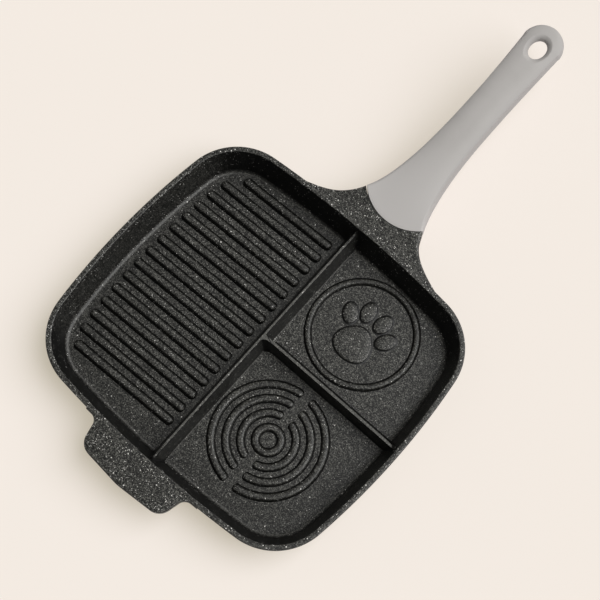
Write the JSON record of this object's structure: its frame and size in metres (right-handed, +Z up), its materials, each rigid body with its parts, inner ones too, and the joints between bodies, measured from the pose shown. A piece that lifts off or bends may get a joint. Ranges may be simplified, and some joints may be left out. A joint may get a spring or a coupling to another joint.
{
  "type": "divided frying pan",
  "caption": "Shallow square cast frying pan split by dividers into a ribbed grill section and smaller patterned sections, with a helper tab and a soft-touch grip with a hang hole.",
  "frame": {"origin": "middle of the pan's flat underside, below the middle of the lip's outline", "axes": "+Z up out of the cooking sections, +Y from the helper tab towards the grip, +X towards the two small sections"},
  "size_m": [0.25, 0.4482, 0.0431],
  "materials": {
    "pan_coating": "charcoal non-stick coating with pale stone-like speckles over cast aluminium",
    "grip_soft_touch": "warm grey soft-touch, matte",
    "screw_steel": "bright zinc-plated steel",
    "washer_steel": "plain spring steel",
    "insert_brass": "machined brass"
  },
  "bodies": {
    "root": {"pan_body": "pan_coating", "grip_upper_shell": "grip_soft_touch", "grip_lower_shell": "grip_soft_touch", "tang_screw_front": "screw_steel", "front_lock_washer": "washer_steel", "front_insert": "insert_brass", "tang_screw_rear": "screw_steel", "rear_lock_washer": "washer_steel", "rear_insert": "insert_brass", "tail_screw": "screw_steel", "tail_lock_washer": "washer_steel", "tail_insert": "insert_brass"}
  },
  "joints": []
}
